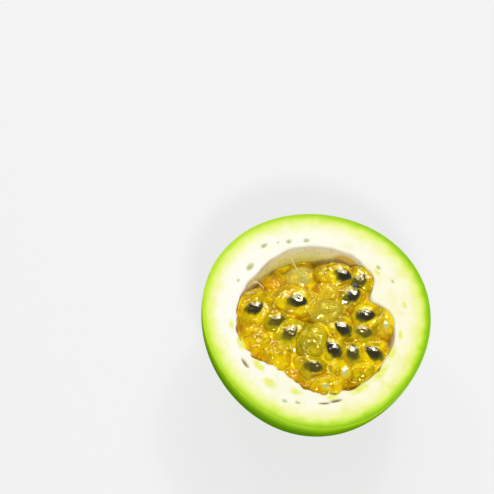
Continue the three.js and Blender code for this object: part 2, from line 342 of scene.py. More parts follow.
def sac_material():
    """Cloudy yellow juice in a thin wet skin; a seed close under the skin shows dark through it."""
    material, tree, shader = new_material("sac_juice")
    place = object_place(tree)
    height = add_node(tree, "ShaderNodeSeparateXYZ", Vector=place).outputs["Z"]
    sunk = maths(tree, "DIVIDE", maths(tree, "SUBTRACT", FACE_Z * MM, height), 8 * MM)
    # Painted shade: juice lower in the hollow is darker and more orange.
    juice = juice_colour(tree, place, maths(tree, "MINIMUM", sunk, 0.5))
    rise = attribute_of(tree, "rise")
    # Painted light: each sac's lower sides glow golden.
    painted_glow = ramp(tree, rise, ((0.25, WHITE), (0.7, BLACK)))
    juice = mix_colour(tree, maths(tree, "MULTIPLY", painted_glow, 0.5), juice, linear("e2a400"))
    juice = mix_colour(tree, attribute_of(tree, "olive"), juice, linear("a08e06"))
    juice = mix_colour(tree, attribute_of(tree, "orange"), juice, linear("e0a400"))
    juice = mix_colour(tree, attribute_of(tree, "pale"), juice, linear("dcd868"))
    window = attribute_of(tree, "window")
    ripe = ramp(tree, window, (
        (0.0, "c0ae08"), (0.3, "8e8210"), (0.55, "66601c"), (0.8, "444224"), (1.0, "2e2e28"),
    ))
    unripe = ramp(tree, window, ((0.0, "e8cc08"), (0.5, "f0e052"), (0.9, "fbf2a0")))
    seed_colour = mix_colour(tree, attribute_of(tree, "unripe"), ripe, unripe)
    seen = maths(tree, "MULTIPLY", window, 3.5, clamp=True)
    tree.links.new(mix_colour(tree, seen, juice, seed_colour), shader.inputs["Base Color"])
    clear = maths(tree, "MULTIPLY_ADD", window, 0.45, 0.05)
    tree.links.new(clear, shader.inputs["Transmission Weight"])
    settle(shader, Roughness=0.08, IOR=1.5, Specular_Tint=linear("ffd82c"))
    tree.links.new(maths(tree, "MULTIPLY_ADD", window, 0.65, 0.35), shader.inputs["Coat Weight"])
    settle(shader, Coat_Roughness=0.07, Coat_IOR=1.62)
    crinkle = bump(tree, noise_of(tree, place, 1.4, 3.0, 0.5), 0.35, 0.25)
    tree.links.new(crinkle, shader.inputs["Normal"])
    return material


def bed_material():
    """""Loose juice between the sacs: yellow where it stands high, and painted shade that turns it
    orange-brown down in the creases.""
    """
    material, tree, shader = new_material("loose_juice")
    place = object_place(tree)
    # Painted shade: the deeper the crease, the darker the juice.
    sunk = maths(tree, "MULTIPLY", attribute_of(tree, "crease"), 0.9)
    tree.links.new(juice_colour(tree, place, sunk), shader.inputs["Base Color"])
    settle(shader, Roughness=0.08, IOR=1.5, Specular_Tint=linear("ffd82c"), Coat_Weight=0.35,
           Coat_Roughness=0.03, Coat_IOR=1.62)
    tree.links.new(bump(tree, noise_of(tree, place, 1.2, 3.0), 0.5, 0.35), shader.inputs["Normal"])
    return material


def clear_juice_material():
    """Beads of clear wet juice."""
    material, tree, shader = new_material("clear_juice")
    place = object_place(tree)
    tint = ramp(tree, noise_of(tree, place, 2.0, 2.0), ((0.35, "f8cc00"), (0.65, "ffec30")))
    tree.links.new(tint, shader.inputs["Base Color"])
    settle(shader, Transmission_Weight=0.2, Roughness=0.04, IOR=1.36, Coat_Weight=0.8,
           Coat_Roughness=0.03)
    tree.links.new(bump(tree, noise_of(tree, place, 0.6, 2.0), 0.3, 0.1), shader.inputs["Normal"])
    return material


def fold_material():
    """""Wet edges of the sacs' skins, painted pale cream: partly their own colour, partly a painted
    highlight along the folds.""
    """
    material, tree, shader = new_material("sac_skin_edges")
    place = object_place(tree)
    # Partly painted highlight: the folds are tinted pale cream.
    tint = ramp(tree, noise_of(tree, place, 1.5, 3.0), ((0.4, "d8b404"), (0.5, "f0d420"), (0.62, "fff2a0")))
    tree.links.new(tint, shader.inputs["Base Color"])
    settle(shader, Roughness=0.2, Specular_Tint=linear("ffd82c"), Coat_Weight=0.3, Coat_Roughness=0.04)
    tree.links.new(bump(tree, noise_of(tree, place, 0.4, 2.0), 0.3, 0.06), shader.inputs["Normal"])
    return material


def seed_material(name, dark, light, roughness):
    material, tree, shader = new_material(name)
    place = object_place(tree)
    mottled = noise_of(tree, place, 0.8, 3.0, 0.6)
    tree.links.new(ramp(tree, mottled, ((0.35, dark), (0.7, light))), shader.inputs["Base Color"])
    settle(shader, Roughness=roughness, Coat_Weight=0.5, Coat_Roughness=0.15)
    tree.links.new(bump(tree, mottled, 0.4, 0.08), shader.inputs["Normal"])
    return material


def stalk_material():
    material, tree, shader = new_material("moist_thread")
    place = object_place(tree)
    grain = noise_of(tree, place, 0.5, 3.0)
    tree.links.new(ramp(tree, grain, ((0.3, "f4efc4"), (0.7, "fffbe6"))), shader.inputs["Base Color"])
    settle(shader, Roughness=0.3, Subsurface_Weight=0.3, Subsurface_Scale=0.5 * MM)
    tree.links.new(bump(tree, grain, 0.3, 0.05), shader.inputs["Normal"])
    return material


# ---- Rind ----
ANGLES = 384
SKIN_ROWS, FACE_ROWS = 75, 52
LIP_RING = 24.0  # the radius on which the lip's noise is read
LIP_ROUND = 0.7  # radius of the lip's edge
TEAR_FAR, TEAR_NEAR = 0.12, 0.95  # how far the lip is torn all round, and more on the near side
LIP_TEETH, LIP_WAVE = 0.2, 0.5
LIP_FLAPS = 0.25  # how far the torn flesh by the near lip stands up
VEIN_DEPTH, CRACK_DEPTH = 0.45, 0.9
WAVES, GRAIN = 0.10, 0.05  # unevenness of the cut face and of the hollow's wall
KNIFE_EDGE, KNIFE_WAVER = 0.22, 0.07  # from the skin in to where the cut face is flat
FLOOR_GAP = 0.6  # between the hollow's lowest ring of points and its lowest point

# Marks on the cut face, each (degrees round, mm from the middle, mm long, mm wide).
VEINS = ((145, 27.6, 2.2, 1.1), (129, 25.9, 1.5, 1.2), (117, 25.4, 1.7, 1.2), (162, 25.2, 2.8, 1.6),
         (175, 25.7, 1.0, 0.8), (64, 26.0, 1.5, 1.1), (51, 26.9, 1.3, 0.8), (271, 27.4, 1.6, 0.9),
         (279, 26.7, 1.6, 0.8), (136, 26.6, 0.8, 0.6))
CRACKS = ((236, 25.6, 3.4, 0.8), (296, 26.1, 3.4, 0.45), (304, 25.7, 3.6, 0.7))
STAINS = ((322, 24.6, 7.0, 2.6), (342, 24.8, 8.0, 2.4), (358, 24.4, 5.0, 2.0), (13, 25.5, 3.4, 1.4),
          (34, 27.3, 2.6, 1.2), (257, 24.6, 4.6, 3.0), (243, 22.8, 5.0, 2.4), (276, 23.6, 3.4, 2.0),
          (222, 24.0, 5.0, 1.8), (207, 25.2, 3.4, 1.4), (302, 24.4, 4.0, 1.6), (62, 24.6, 3.0, 1.0))
# Juice on the hollow's wall, each (degrees round, HOLLOW_RADIUS less mm under the cut, mm long, mm wide).
WALL_JUICE = ((85, 18.8, 7.5, 6.5), (70, 17.0, 5.0, 4.0), (330, 18.0, 30, 9), (20, 16.5, 12, 6))


def ridge_height(degrees):
    total = np.zeros_like(degrees)
    for at, height, spread in RIDGES:
        off = (degrees - at + 180) % 360 - 180
        total += height * np.exp(-((off / spread) ** 2))
    return total


def marks(rows, degrees, radius, soften=1.0):
    """Soft-edged ovals along the ring at each mark."""
    mask = np.zeros(np.broadcast(degrees, radius).shape)
    for at, middle, length, width in rows:
        along = np.radians((degrees - at + 180) % 360 - 180) * middle
        oval = np.hypot(along / (length / 2), (radius - middle) / (width / 2))
        mask = np.maximum(mask, 1 - smoothstep(1 - 0.5 * soften, 1 + 0.35 * soften, oval))
    return mask


def build_rind(materials):
    degrees = np.arange(ANGLES) * 360 / ANGLES
    turn = np.radians(degrees)
    swell = 1 + sum(share * np.cos(count * turn + phase) for count, share, phase in SKIN_WAVES)
    cos, sin = np.cos(turn), np.sin(turn)
    rim = RIM_RADIUS * swell
    hollow = HOLLOW_RADIUS - ridge_height(degrees)
    around = (cos * LIP_RING, sin * LIP_RING, 0.0)
    near = smoothstep(0.1, -0.5, sin)  # the near side's lip is torn more
    torn = fuzz(*around, 2.4, 3.0) * (TEAR_FAR + TEAR_NEAR * near)
    torn += np.abs(fuzz(*around, 0.7, 5.0)) * LIP_TEETH * near
    torn += fuzz(*around, 5.0, 8.0) * LIP_WAVE
    lip = hollow + torn

    rows = []  # each (radius, height, depth in from the skin, material number of the band above)
    start = math.acos(FACE_Z / BACK_DEPTH)
    flat = RIM_RADIUS * math.sin(start)
    for share in (0.25, 0.5, 0.75):
        rows.append((flat * share * swell, np.zeros(ANGLES), np.zeros(ANGLES), 0))
    for a in np.linspace(start, math.pi / 2, SKIN_ROWS + 1)[:-1]:
        z = FACE_Z - BACK_DEPTH * math.cos(a)
        rows.append((RIM_RADIUS * math.sin(a) * swell, np.full(ANGLES, z), np.zeros(ANGLES), 0))
    knife = fuzz(cos * RIM_RADIUS, sin * RIM_RADIUS, 0.0, 4.0, 1.0)
    for inward, below in ((0.0, 0.22), (0.04, 0.1), (0.12, 0.03)):  # the rounded corner at the cut
        rows.append((rim - inward, np.full(ANGLES, FACE_Z - below), np.zeros(ANGLES), 0))
    face_from, face_to = rim - KNIFE_EDGE + KNIFE_WAVER * knife, lip + LIP_ROUND
    face_start = len(rows)
    for share in np.linspace(0, 1, FACE_ROWS):
        radius = face_from + (face_to - face_from) * share
        x, y = radius * cos, radius * sin
        level = WAVES * fuzz(x, y, 0.0, 6.0, 2.0) + GRAIN * fuzz(x, y, 0.0, 1.5, 5.0)
        level = level * smoothstep(0, 0.15, np.full(ANGLES, share))
        level -= VEIN_DEPTH * marks(VEINS, degrees, radius) + CRACK_DEPTH * marks(CRACKS, degrees, radius)
        level += LIP_FLAPS * near * smoothstep(3.2, 1.2, radius - lip) * fuzz(x, y, 0.0, 1.1, 7.0)
        rows.append((radius, FACE_Z + level, rim - radius, 1))
    for a in np.radians((25, 50, 75)):
        below = np.full(ANGLES, LIP_ROUND * (1 - math.cos(a)))
        rows.append((lip + LIP_ROUND * (1 - math.sin(a)), FACE_Z - below, rim - lip, 1))
    wall_start = len(rows)
    steps = np.concatenate((np.linspace(1.0, 15.0, 34), np.linspace(16.5, HOLLOW_DEPTH - FLOOR_GAP, 12)))
    for down in steps:
        a = math.acos(min(1.0, down / HOLLOW_DEPTH))
        shrink = math.sin(a)
        fade = float(smoothstep(9.0, 1.0, np.array(down)))
        radius = hollow * shrink + torn * fade
        x, y = radius * cos, radius * sin
        radius = radius + WAVES * fuzz(x, y, -down, 2.2, 4.0) + GRAIN * fuzz(x, y, -down, 0.8, 6.0)
        rows.append((radius, np.full(ANGLES, FACE_Z - down), rim - radius + 1.0, 2))

    radius = np.array([r[0] for r in rows])
    height = np.array([r[1] for r in rows])
    depth = np.array([r[2] for r in rows])
    points = np.stack((radius * cos, radius * sin, height), 2).reshape(-1, 3)
    count = len(points)
    points = np.vstack((points, [(0, 0, 0), (0, 0, FACE_Z - HOLLOW_DEPTH)]))
    faces, material_of = [], []
    ring = np.arange(ANGLES)
    nxt = (ring + 1) % ANGLES
    for i in range(len(rows) - 1):
        a, b = i * ANGLES, (i + 1) * ANGLES
        faces += np.stack((a + ring, a + nxt, b + nxt, b + ring), 1).tolist()
        kind = 0 if i + 1 < face_start else 1 if i + 1 < wall_start + 1 else 2
        material_of += [kind] * ANGLES
    last = (len(rows) - 1) * ANGLES
    faces += [(int(nxt[i]), int(i), count) for i in ring]
    faces += [(last + int(i), last + int(nxt[i]), count + 1) for i in ring]
    material_of += [0] * ANGLES + [2] * ANGLES

    obj = make_object("rind_half", points, faces, material_of, materials)
    add_attribute(obj, "depth", np.append(np.clip(depth.reshape(-1) / DEEPEST, 0, 1), (0, 1)))
    greener = np.broadcast_to(0.5 + 0.5 * np.cos(turn - 0.1), radius.shape)
    add_attribute(obj, "green_side", np.append(greener.reshape(-1), (0, 0)))
    row = np.arange(len(rows))[:, None]
    on_face = (row >= face_start) & (row < wall_start + 3)
    wide = np.broadcast_to(degrees, radius.shape)
    for name, table, soften in (("vein", VEINS, 1.2), ("crack", CRACKS, 1.0), ("stain", STAINS, 1.8)):
        values = np.where(on_face, marks(table, wide, radius, soften), 0)
        if name == "stain":
            on_wall = marks(WALL_JUICE, wide, HOLLOW_RADIUS + height - FACE_Z, soften)
            values = np.where(row >= wall_start, on_wall, values)
        add_attribute(obj, name, np.append(values.reshape(-1), (0, 0)))
    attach(obj, BODY)
    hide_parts("rind")


# ---- Juice sacs ----
SAC_VOXEL = 0.26
SAC_SWELL, SAC_LUMPS, SAC_RIPPLES = 0.6, 0.65, 0.22  # how far the skin stands out from the CAD sac
SAC_FOLD, SAC_CRINKLE = 0.22, 0.15  # height of the fine folds
OVER_SEED = 0.5  # from the top of a seed to the skin over it


def hull_object(name, points):
    """The convex shape round a CAD node's points, in metres."""
    mesh = bpy.data.meshes.new(name)
    sheet = bmesh.new()
    for p in points:
        sheet.verts.new(p * MM)
    hull = bmesh.ops.convex_hull(sheet, input=sheet.verts)
    spare = [g for g in hull["geom_interior"] + hull["geom_unused"] if isinstance(g, bmesh.types.BMVert)]
    bmesh.ops.delete(sheet, geom=list(set(spare)), context="VERTS")
    bmesh.ops.recalc_face_normals(sheet, faces=sheet.faces)
    sheet.to_mesh(mesh)
    sheet.free()
    return add_object(name, mesh)


def read_points(mesh, what):
    """Every vertex's place ("co") or normal, one row each."""
    values = np.empty(len(mesh.vertices) * 3)
    mesh.vertices.foreach_get(what, values)
    return values.reshape(-1, 3)


def write_points(mesh, points):
    mesh.vertices.foreach_set("co", points.reshape(-1))
    mesh.update()


def finish_mesh(mesh, material):
    mesh.materials.clear()
    mesh.materials.append(material)
    mesh.polygons.foreach_set("use_smooth", [True] * len(mesh.polygons))
    mesh.update()


def face_out(mesh):
    """Turns a closed mesh's faces outwards."""
    sheet = bmesh.new()
    sheet.from_mesh(mesh)
    if sheet.calc_volume(signed=True) < 0:
        bmesh.ops.reverse_faces(sheet, faces=sheet.faces)
    sheet.to_mesh(mesh)
    sheet.free()


def merged_copy(node, name):
    """A loose copy of a CAD node's mesh with its doubles merged."""
    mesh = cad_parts[node].data.copy()
    sheet = bmesh.new()
    sheet.from_mesh(mesh)
    bmesh.ops.remove_doubles(sheet, verts=sheet.verts, dist=0.001 * MM)
    sheet.to_mesh(mesh)
    sheet.free()
    return add_object(name, mesh)


def apply_modifiers(obj):
    graph = bpy.context.evaluated_depsgraph_get()
    made = bpy.data.meshes.new_from_object(obj.evaluated_get(graph))
    obj.modifiers.clear()
    obj.data = made


def add_modifier(obj, kind, **settings):
    modifier = obj.modifiers.new(kind.lower(), kind)
    for key, value in settings.items():
        setattr(modifier, key, value)


# How clearly each sac's seed shows through its skin, by number; the others are hidden in the juice.
SHOWN = {1: 0.9, 2: 0.85, 3: 1.0, 5: 0.6, 6: 0.9, 7: 0.95, 8: 0.9, 9: 0.9, 10: 0.62, 11: 0.85, 12: 0.55,
         14: 0.62, 15: 0.55, 16: 0.5, 17: 0.9, 18: 0.9, 19: 0.9}
PALE_SACS = {25: 0.5, 13: 0.15, 24: 0.1}  # dried and paler, by number
# How much olive and how much orange each sac's juice has, by number.
OLIVE_SACS = {4: 0.6, 5: 0.45, 7: 0.5, 10: 0.45, 11: 0.4, 12: 0.3, 13: 0.5, 14: 0.4, 15: 0.5, 16: 0.5}
ORANGE_SACS = {21: 0.3, 22: 0.35, 23: 0.4, 24: 0.3, 26: 0.6, 27: 0.3, 17: 0.25, 2: 0.2, 1: 0.15}
UNRIPE = (17, 18, 19)  # sacs whose seeds stayed small and pale, by number


def seed_frame(node):
    """A CAD seed's centre, its axes (along to the point, across, up) and its size."""
    points = node_points(node)
    middle = points.mean(0)
    _, _, axes = np.linalg.svd(points - middle, full_matrices=False)
    along, across = axes[0], axes[1]
    far = (points - middle) @ along
    side = np.abs((points - middle) @ across)
    if side[far > 0.35 * far.max()].mean() > side[far < 0.35 * far.min()].mean():
        along = -along
    up = np.cross(along, across)
    if up[2] < 0:
        across, up = -across, -up
    span = [np.ptp(points @ axis) for axis in (along, across, up)]
    centre = sum(((points @ axis).max() + (points @ axis).min()) / 2 * axis for axis in (along, across, up))
    return centre, np.stack((along, across, up)), np.array(span)


def build_sac(node, material):
    number = int(node[-2:])
    obj = hull_object(node.replace("juice_sac", "sac"), node_points(node))
    add_modifier(obj, "REMESH", mode="VOXEL", voxel_size=SAC_VOXEL * MM)
    add_modifier(obj, "SMOOTH", factor=0.8, iterations=14)
    apply_modifiers(obj)
    mesh = obj.data
    at = read_points(mesh, "co") / MM
    normal = read_points(mesh, "normal")
    swell = SAC_SWELL + SAC_LUMPS * fuzz(*at.T, 3.0, number * 3.7)
    swell = swell + SAC_RIPPLES * fuzz(*at.T, 1.3, number * 5.1)
    at = at + normal * swell[:, None]

    # The skin of the sac clings to a seed that lies close under it.
    centre, axes, size = seed_frame(node.replace("juice_sac", "seed"))
    local = (at - centre) @ axes.T / (size / 2)
    beside = np.hypot(local[:, 0], local[:, 1] / (1 - 0.3 * np.clip(local[:, 0], 0, 1)))
    upper = smoothstep(0.15, 0.5, normal[:, 2])
    near = smoothstep(2.5, 0.9, beside) * upper
    dome = 1 - 0.30 * np.minimum(np.hypot(local[:, 0], 0.75 * local[:, 1]), 1.6) ** 2
    skin = centre[2] + size[2] / 2 * dome + OVER_SEED
    lift = np.minimum(at[:, 2], skin) - at[:, 2]
    at[:, 2] += lift * near * (0.9 if number in SHOWN else 0.25)

    # Fine folds, sharp at their tops, that run out from the seed's point.
    tip = centre + axes[0] * size[0] / 2
    spoke = np.arctan2(at[:, 1] - tip[1], at[:, 0] - tip[0])
    reach = np.hypot(at[:, 0] - tip[0], at[:, 1] - tip[1])
    fold = 1 - 2 * np.abs(fuzz(spoke * 2.2, reach * 0.28, at[:, 2] * 0.2, 0.55, number * 1.9))
    crinkle = 1 - 2 * np.abs(fuzz(*at.T, 1.5, number * 2.9))
    rough = upper * (1 - 0.75 * near * (number in SHOWN))
    at = at + normal * (SAC_FOLD * fold * rough + SAC_CRINKLE * crinkle * rough)[:, None]
    write_points(mesh, at * MM)

    # The seed's dark shape: crisp at its point, and fading into the juice at its blunt end.
    blunt = smoothstep(0.3, -0.7, local[:, 0])
    ragged = beside + (0.10 + 0.25 * blunt) * fuzz(*at.T, 1.3, number * 7.7)
    window = 1 - smoothstep(0.65 - 0.45 * blunt, 1.12 + 0.22 * blunt, ragged)
    add_attribute(obj, "window", window * upper * SHOWN.get(number, 0.0))
    add_attribute(obj, "unripe", np.full(len(at), float(number in UNRIPE)))
    for name, share in (("pale", PALE_SACS), ("olive", OLIVE_SACS), ("orange", ORANGE_SACS)):
        patchy = np.clip(1 + 0.9 * fuzz(*at.T, 3.0, len(name) * 1.7), 0, 1.4)
        add_attribute(obj, name, np.clip(share.get(number, 0.0) * patchy, 0, 1))
    add_attribute(obj, "rise", (at[:, 2] - at[:, 2].min()) / np.ptp(at[:, 2]))
    finish_mesh(mesh, material)
    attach(obj, BODY)
    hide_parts(node)
    return obj


JUICE_GRID = 0.3  # step of the grid on which the loose juice's level is worked out
JUICE_REACH = 24.0  # half the grid's side
JUICE_SPREAD = 1.5  # how far the level evens out across the sacs
JUICE_DROP = 0.5  # how far it stands under the evened-out tops of the sacs
JUICE_WAVES, JUICE_RIPPLES = 0.45, 0.18
SEED_CLEARANCE = 0.3  # from a shown seed down to the juice round it
LOWEST_JUICE = 9.0  # under the cut face, where no sac lies below
CREASE_SPREAD = 2.5  # how far the tops even out for the surface that a crease's depth is taken from
CREASE_FROM, CREASE_SPAN, DEEP_CREASE = 1.0, 3.0, 5.0  # depths over which the juice is painted darker, as shade in the creases
BED_GAP = 0.2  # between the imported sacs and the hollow's wall


def evened(values, weights, spread):
    """Gaussian mean over the grid, where weights are not zero."""
    reach = int(3 * spread / JUICE_GRID)
    bell = np.exp(-0.5 * (np.arange(-reach, reach + 1) * JUICE_GRID / spread) ** 2)

    def blur(grid):
        for axis in (0, 1):
            grid = np.apply_along_axis(np.convolve, axis, grid, bell, "same")
        return grid

    return blur(values * weights) / np.maximum(blur(weights), 1e-6)


def sac_tops(sacs):
    """Height of the sacs' upper side over the grid, in millimetres."""
    points, faces = [], []
    for sac in sacs:
        faces += [[i + len(points) for i in face.vertices] for face in sac.data.polygons]
        points += [v.co / MM for v in sac.data.vertices]
    tree = BVHTree.FromPolygons(points, faces)
    steps = np.arange(-JUICE_REACH, JUICE_REACH + JUICE_GRID / 2, JUICE_GRID)
    tops = np.full((len(steps), len(steps)), FACE_Z - LOWEST_JUICE)
    for i, x in enumerate(steps):
        for j, y in enumerate(steps):
            hit = tree.ray_cast(Vector((x, y, FACE_Z + 8)), Vector((0, 0, -1)))[0]
            if hit is not None:
                tops[i, j] = max(hit.z, FACE_Z - LOWEST_JUICE)
    return steps, tops


def read_grid(grid, x, y):
    """The grid's value at each point, straight between its steps."""
    i, j = (x + JUICE_REACH) / JUICE_GRID, (y + JUICE_REACH) / JUICE_GRID
    i = np.clip(i, 0, len(grid) - 1.001)
    j = np.clip(j, 0, len(grid) - 1.001)
    a, b = i.astype(int), j.astype(int)
    s, t = i - a, j - b
    low = grid[a, b] * (1 - s) + grid[a + 1, b] * s
    high = grid[a, b + 1] * (1 - s) + grid[a + 1, b + 1] * s
    return low * (1 - t) + high * t


def juice_level(sacs):
    """Grids of the loose juice's level, how deep in a crease it lies, and the pulp's whole upper side."""
    steps, tops = sac_tops(sacs)
    x, y = np.meshgrid(steps, steps, indexing="ij")
    wall = HOLLOW_RADIUS - ridge_height(np.degrees(np.arctan2(y, x)))
    inside = (np.hypot(x, y) < wall - 0.5).astype(float)
    level = evened(tops, inside, JUICE_SPREAD) - JUICE_DROP
    level += JUICE_WAVES * fuzz(x, y, 0.0, 2.6, 4.4) + JUICE_RIPPLES * fuzz(x, y, 0.0, 1.0, 9.1)
    for node in SEEDS:  # the juice keeps clear of each seed that shows
        if int(node[-2:]) not in SHOWN:
            continue
        centre, axes, size = seed_frame(node)
        beside = np.hypot((x - centre[0]) * axes[0][0] + (y - centre[1]) * axes[0][1],
                          1.4 * ((x - centre[0]) * axes[1][0] + (y - centre[1]) * axes[1][1]))
        dip = np.maximum(level - (centre[2] - size[2] / 2 - SEED_CLEARANCE), 0)
        level -= dip * smoothstep(size[0] / 2 + 0.9, size[0] / 2 + 0.1, beside)
    crease = evened(tops, inside, CREASE_SPREAD) - level
    return level, crease, np.maximum(tops, level)


def off_seeds(x, y):
    """1 where no shown seed lies under the point, falling to 0 over a seed."""
    clear = np.ones(np.shape(x))
    for node in SEEDS:
        if int(node[-2:]) in SHOWN:
            centre, axes, size = seed_frame(node)
            along = ((x - centre[0]) * axes[0][0] + (y - centre[1]) * axes[0][1]) / (size[0] / 2)
            across = ((x - centre[0]) * axes[1][0] + (y - centre[1]) * axes[1][1]) / (size[1] / 2)
            clear = np.minimum(clear, smoothstep(1.0, 1.25, np.hypot(along, across)))
    return clear


def build_bed(material, level, crease):
    """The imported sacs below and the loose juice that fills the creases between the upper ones."""
    sides, rings, down_rows = 240, 76, 16
    turn = np.arange(sides) * 2 * math.pi / sides
    cos, sin = np.cos(turn), np.sin(turn)
    edge = HOLLOW_RADIUS - ridge_height(np.degrees(turn)) - BED_GAP
    brim = edge.copy()
    for _ in range(3):  # the edge follows the wall down to the juice's level there
        down = np.clip(FACE_Z - read_grid(level, brim * cos, brim * sin), 0, HOLLOW_DEPTH - 1)
        brim = edge * np.sqrt(1 - (down / HOLLOW_DEPTH) ** 2)
    rows, creases = [], []
    for share in np.arange(1, rings + 1) / rings:
        px, py = brim * share * cos, brim * share * sin
        rows.append((px, py, read_grid(level, px, py) + 0.5 * smoothstep(0.95, 1.0, share)))
        creases.append(read_grid(crease, px, py))
    for share in np.arange(1, down_rows + 1) / down_rows:
        deep = down + (HOLLOW_DEPTH - FLOOR_GAP - down) * share
        radius = edge * np.sqrt(1 - (deep / HOLLOW_DEPTH) ** 2)
        rows.append((radius * cos, radius * sin, FACE_Z - deep))
        creases.append(np.full(sides, DEEP_CREASE))
    points = np.array(rows).transpose(0, 2, 1).reshape(-1, 3)
    centre_top = (0, 0, read_grid(level, np.zeros(1), np.zeros(1))[0])
    points = np.vstack((points, [centre_top, (0, 0, FACE_Z - HOLLOW_DEPTH + FLOOR_GAP)]))
    top, bottom = len(points) - 2, len(points) - 1
    last = (len(rows) - 1) * sides
    faces = []
    for j in range(sides):
        k = (j + 1) % sides
        for i in range(len(rows) - 1):
            faces.append((i * sides + j, (i + 1) * sides + j, (i + 1) * sides + k, i * sides + k))
        faces.append((top, j, k))
        faces.append((bottom, last + k, last + j))
    obj = make_object("packed_sacs", points, faces, None, [material])
    face_out(obj.data)
    crease = np.append(np.array(creases).reshape(-1), (2.0, DEEP_CREASE))
    add_attribute(obj, "crease", np.clip((crease - CREASE_FROM) / CREASE_SPAN, 0, 1))
    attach(obj, BODY)
    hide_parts("pulp_bed")


# ---- Folds of skin and beads of juice on the pulp ----
FOLD_SEED, FOLDS_PER_SEED = 12, 4
FOLD_REACH = (1.35, 2.0)  # least and most, as a share of the oval round a seed
FOLD_SPAN = (0.25, 0.8)  # least and most, in radians
FOLD_OVAL = (3.1, 2.3)  # half the oval's length and width
FOLD_MARGIN = 1.2  # from the hollow's wall
FOLD_THICKNESS = 0.14
BEAD_GAP, SMALLEST_BEAD, LARGEST_BEAD = 2.0, 0.14, 0.40
BEAD_MARGIN = 1.6  # from the hollow's wall


def new_tree(name, sizes):
    """A Geometry Nodes tree with a geometry and the named sizes as inputs; gives (tree, input, output)."""
    tree = bpy.data.node_groups.new(name, "GeometryNodeTree")
    tree.interface.new_socket("Geometry", in_out="INPUT", socket_type="NodeSocketGeometry")
    for size in sizes:
        tree.interface.new_socket(size, in_out="INPUT", socket_type="NodeSocketFloat")
    tree.interface.new_socket("Geometry", in_out="OUTPUT", socket_type="NodeSocketGeometry")
    return tree, tree.nodes.new("NodeGroupInput"), tree.nodes.new("NodeGroupOutput")


def run_tree(obj, tree, sizes):
    """Puts the tree on the object with these sizes and makes the result its mesh."""
    modifier = obj.modifiers.new(tree.name, "NODES")
    modifier.node_group = tree
    for item in tree.interface.items_tree:
        if item.in_out == "INPUT" and item.name in sizes:
            modifier[item.identifier] = sizes[item.name]
    graph = bpy.context.evaluated_depsgraph_get()
    mesh = bpy.data.meshes.new_from_object(obj.evaluated_get(graph))
    name = obj.name
    bpy.data.objects.remove(obj)
    return add_object(name, mesh)


def close_tree(tree, geometry, material, output):
    """Shades smooth, realizes, sets the material and joins the output."""
    smooth = add_node(tree, "GeometryNodeSetShadeSmooth", Geometry=geometry)
    real = add_node(tree, "GeometryNodeRealizeInstances", Geometry=smooth.outputs[0])
    finish = add_node(tree, "GeometryNodeSetMaterial", Geometry=real.outputs[0], Material=material)
    tree.links.new(finish.outputs[0], output.inputs[0])


def fold_tree(material):
    tree, source, output = new_tree("skin_folds", ["Thickness"])
    even = add_node(tree, "GeometryNodeResampleCurve", Curve=source.outputs["Geometry"], Count=26)
    along = tree.nodes.new("GeometryNodeSplineParameter").outputs["Factor"]
    bow = maths(tree, "SINE", maths(tree, "MULTIPLY", along, math.pi))
    taper = add_node(tree, "GeometryNodeSetCurveRadius", Curve=even.outputs[0],
                     Radius=maths(tree, "MULTIPLY_ADD", bow, 0.75, 0.25))
    ring = add_node(tree, "GeometryNodeCurvePrimitiveCircle", Resolution=6,
                    Radius=source.outputs["Thickness"])
    tube = add_node(tree, "GeometryNodeCurveToMesh", Curve=taper.outputs[0],
                    Profile_Curve=ring.outputs[0], Fill_Caps=True)
    close_tree(tree, tube.outputs[0], material, output)
    return tree


def build_folds(material, surface):
    """Thin raised folds where the sacs' skins meet and bend, in arcs round the seeds."""
    draw = np.random.default_rng(FOLD_SEED)
    data = bpy.data.curves.new("folds", "CURVE")
    data.dimensions = "3D"
    for node in SEEDS:
        centre, axes, _ = seed_frame(node)
        for _ in range(FOLDS_PER_SEED):
            share = draw.uniform(*FOLD_REACH)
            start, span = draw.uniform(0, 2 * math.pi), draw.uniform(*FOLD_SPAN)
            turn = start + span * np.linspace(0, 1, 12)
            reach = share * (1 + 0.10 * np.sin(2.3 * turn + start) + 0.05 * np.sin(7.1 * turn))
            along = FOLD_OVAL[0] * reach * np.cos(turn)
            aside = FOLD_OVAL[1] * reach * np.sin(turn)
            x = centre[0] + along * axes[0][0] - aside * axes[0][1]
            y = centre[1] + along * axes[0][1] + aside * axes[0][0]
            wall = HOLLOW_RADIUS - ridge_height(np.degrees(np.arctan2(y, x)))
            if np.any(np.hypot(x, y) > wall - FOLD_MARGIN) or np.any(off_seeds(x, y) < 0.5):
                continue
            z = read_grid(surface, x, y) + 0.02
            spline = data.splines.new("POLY")
            spline.points.add(len(x) - 1)
            for point, place in zip(spline.points, zip(x, y, z)):
                point.co = (*(float(v) * MM for v in place), 1)
    made = run_tree(add_object("skin_folds", data), fold_tree(material), {"Thickness": FOLD_THICKNESS * MM})
    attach(made, BODY)


